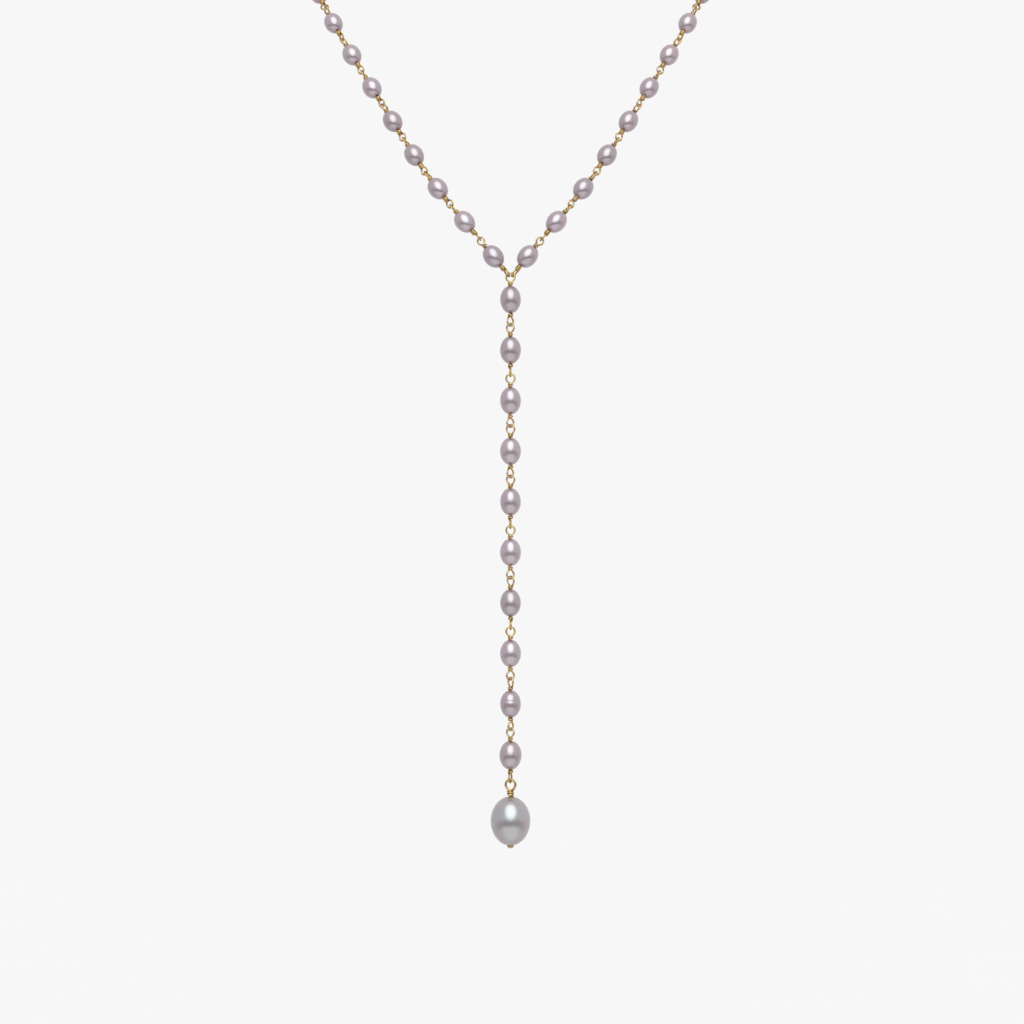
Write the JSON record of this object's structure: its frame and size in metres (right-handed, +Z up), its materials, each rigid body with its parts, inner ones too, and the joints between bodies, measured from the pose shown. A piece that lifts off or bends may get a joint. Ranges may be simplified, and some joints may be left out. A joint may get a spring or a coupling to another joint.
{
  "type": "lariat necklace",
  "caption": "Y-shaped lariat necklace: oval pearls on wrapped wire links form the neck loop and a straight drop, which ends in a large pearl on a headpin that swings.",
  "frame": {"origin": "the nape: the middle of the clasp, where the back of the loop lies on the neck", "axes": "+Z up as worn, the front with the drop faces -Y, +X to the right seen from the front"},
  "size_m": [0.115, 0.0963, 0.2629],
  "materials": {
    "nacre_mauve": "soft pearl lustre, pale mauve",
    "nacre_grey": "soft pearl lustre, silver grey",
    "gold_wire": "polished gold"
  },
  "bodies": {
    "necklace": {"neck_pearls_left": "nacre_mauve", "neck_pearls_right": "nacre_mauve", "drop_pearl_01": "nacre_mauve", "drop_pearl_02": "nacre_mauve", "drop_pearl_03": "nacre_mauve", "drop_pearl_04": "nacre_mauve", "drop_pearl_05": "nacre_mauve", "drop_pearl_06": "nacre_mauve", "drop_pearl_07": "nacre_mauve", "drop_pearl_08": "nacre_mauve", "drop_pearl_09": "nacre_mauve", "drop_pearl_10": "nacre_mauve", "neck_wires_left": "gold_wire", "neck_wires_right": "gold_wire", "drop_wire_01": "gold_wire", "drop_wire_02": "gold_wire", "drop_wire_03": "gold_wire", "drop_wire_04": "gold_wire", "drop_wire_05": "gold_wire", "drop_wire_06": "gold_wire", "drop_wire_07": "gold_wire", "drop_wire_08": "gold_wire", "drop_wire_09": "gold_wire", "drop_wire_10": "gold_wire", "clasp": "gold_wire"},
    "pendant": {"pendant_pearl": "nacre_grey", "pendant_headpin": "gold_wire"}
  },
  "joints": [
    {"name": "pendant_swing", "type": "hinge", "parent": "necklace", "child": "pendant", "pos_m": [0, -0.08931, -0.24434], "axis": [0.2588, 0.9659, 0], "range_deg": [-115, 115]}
  ]
}
